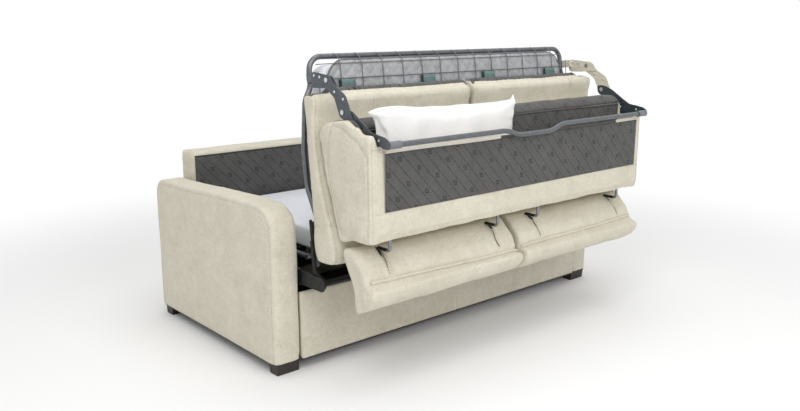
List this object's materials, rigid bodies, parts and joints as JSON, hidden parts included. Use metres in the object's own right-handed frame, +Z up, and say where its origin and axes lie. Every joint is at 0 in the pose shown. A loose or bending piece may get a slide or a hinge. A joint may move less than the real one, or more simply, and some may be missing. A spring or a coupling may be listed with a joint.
{
  "type": "sleeper sofa",
  "caption": "Two-seat sleeper sofa with padded arms, half way through its change to a bed: seats, folded backrest and bed frame stand upright on one pivot.",
  "frame": {"origin": "on the floor, under the middle of the part's bounding box in its half-open rest pose", "axes": "+X to the right for a person who faces the sofa from the front, +Y from front to back, +Z up"},
  "size_m": [2, 1.452, 1.2433],
  "materials": {
    "fabric_cream": "matt",
    "lining_dark": "matt",
    "wood_dark": "satin",
    "steel_black": "satin",
    "steel_grey": "satin",
    "tube_grey": "satin",
    "wire_grey": "satin",
    "chrome_rod": "polished",
    "quilt_silver": "satin",
    "mattress_fabric": "matt",
    "pillow_fabric": "matt",
    "belt_elastic": "matt",
    "plastic_grey": "matt"
  },
  "bodies": {
    "base": {"arm_left": "fabric_cream", "arm_right": "fabric_cream", "front_foot_left": "wood_dark", "front_foot_right": "wood_dark", "rear_foot_left": "wood_dark", "rear_foot_right": "wood_dark", "side_channel_left": "steel_black", "side_channel_right": "steel_black", "guide_rail_left": "steel_black", "guide_rail_right": "steel_black", "bottom_board": "wood_dark", "fixed_back": "fabric_cream", "back_lining": "lining_dark", "front_rail": "fabric_cream", "base_cross_tube": "steel_black"},
    "carriage": {"carriage_left": "steel_black", "carriage_right": "steel_black"},
    "cradle": {"cradle_plate_left": "steel_black", "cradle_plate_right": "steel_black", "pivot_shaft": "steel_black", "mattress_bend": "mattress_fabric"},
    "bed": {"bed_frame": "tube_grey", "bed_mesh": "wire_grey", "quilted_pad": "quilt_silver", "bed_mattress": "mattress_fabric", "elastic_belts": "belt_elastic", "bed_bracket_left": "steel_black", "bed_bracket_right": "steel_black", "side_rail_left": "tube_grey", "side_rail_right": "tube_grey", "seat_left": "fabric_cream", "seat_right": "fabric_cream", "corner_bracket_left": "steel_grey", "corner_bracket_right": "steel_grey", "link_pin_left": "wire_grey", "link_pin_right": "wire_grey"},
    "back_links": {"back_link_left": "steel_grey", "back_link_right": "steel_grey", "back_pin_left": "wire_grey", "back_pin_right": "wire_grey"},
    "backrest": {"back_cushion": "fabric_cream", "back_box": "fabric_cream", "rear_lining": "lining_dark", "pillow": "pillow_fabric", "stand_bar": "tube_grey", "end_plate_left": "steel_grey", "end_plate_right": "steel_grey", "bar_collar_left": "plastic_grey", "bar_collar_right": "plastic_grey", "headrest_rod_left_outer": "chrome_rod", "headrest_rod_left_inner": "chrome_rod", "headrest_rod_right_inner": "chrome_rod", "headrest_rod_right_outer": "chrome_rod"},
    "headrest_left": {"headrest_left": "fabric_cream"},
    "headrest_right": {"headrest_right": "fabric_cream"},
    "head_section": {"head_frame": "tube_grey", "head_mesh": "wire_grey", "head_mattress": "mattress_fabric"}
  },
  "joints": [
    {"name": "carriage_slide", "type": "slide", "parent": "base", "child": "carriage", "axis": [0, -1, 0], "range_m": [-0.0969, 0]},
    {"name": "stow", "type": "hinge", "parent": "carriage", "child": "cradle", "pos_m": [0, -0.40377, 0.38698], "axis": [1, 0, 0], "range_deg": [-83.2, 0]},
    {"name": "flip_out", "type": "hinge", "parent": "cradle", "child": "bed", "pos_m": [0, -0.40377, 0.38698], "axis": [1, 0, 0], "range_deg": [0, 96.8], "deforming": ["mattress_bend"]},
    {"name": "link_turn", "type": "hinge", "parent": "bed", "child": "back_links", "pos_m": [0, -0.37067, 1.15446], "axis": [1, 0, 0], "range_deg": [0, 32.4]},
    {"name": "back_turn", "type": "hinge", "parent": "back_links", "child": "backrest", "pos_m": [0, -0.46654, 1.04302], "axis": [1, 0, 0], "range_deg": [-122.3, 0]},
    {"name": "headrest_left_tilt", "type": "hinge", "parent": "backrest", "child": "headrest_left", "pos_m": [-0.4235, -0.56899, 0.541], "axis": [-1, 0, 0], "range_deg": [0, 35]},
    {"name": "headrest_right_tilt", "type": "hinge", "parent": "backrest", "child": "headrest_right", "pos_m": [0.4235, -0.56899, 0.541], "axis": [-1, 0, 0], "range_deg": [0, 35]},
    {"name": "head_lift", "type": "slide", "parent": "base", "child": "head_section", "axis": [0, 0, 1], "range_m": [-0.3302, 0]}
  ],
  "couplings": [
    {"joint": "carriage_slide", "follows": "stow", "m_per_rad": 0.066661},
    {"joint": "head_lift", "follows": "stow", "m_per_rad": 0.22726},
    {"joint": "link_turn", "follows": "back_turn", "ratio": -0.2641}
  ]
}
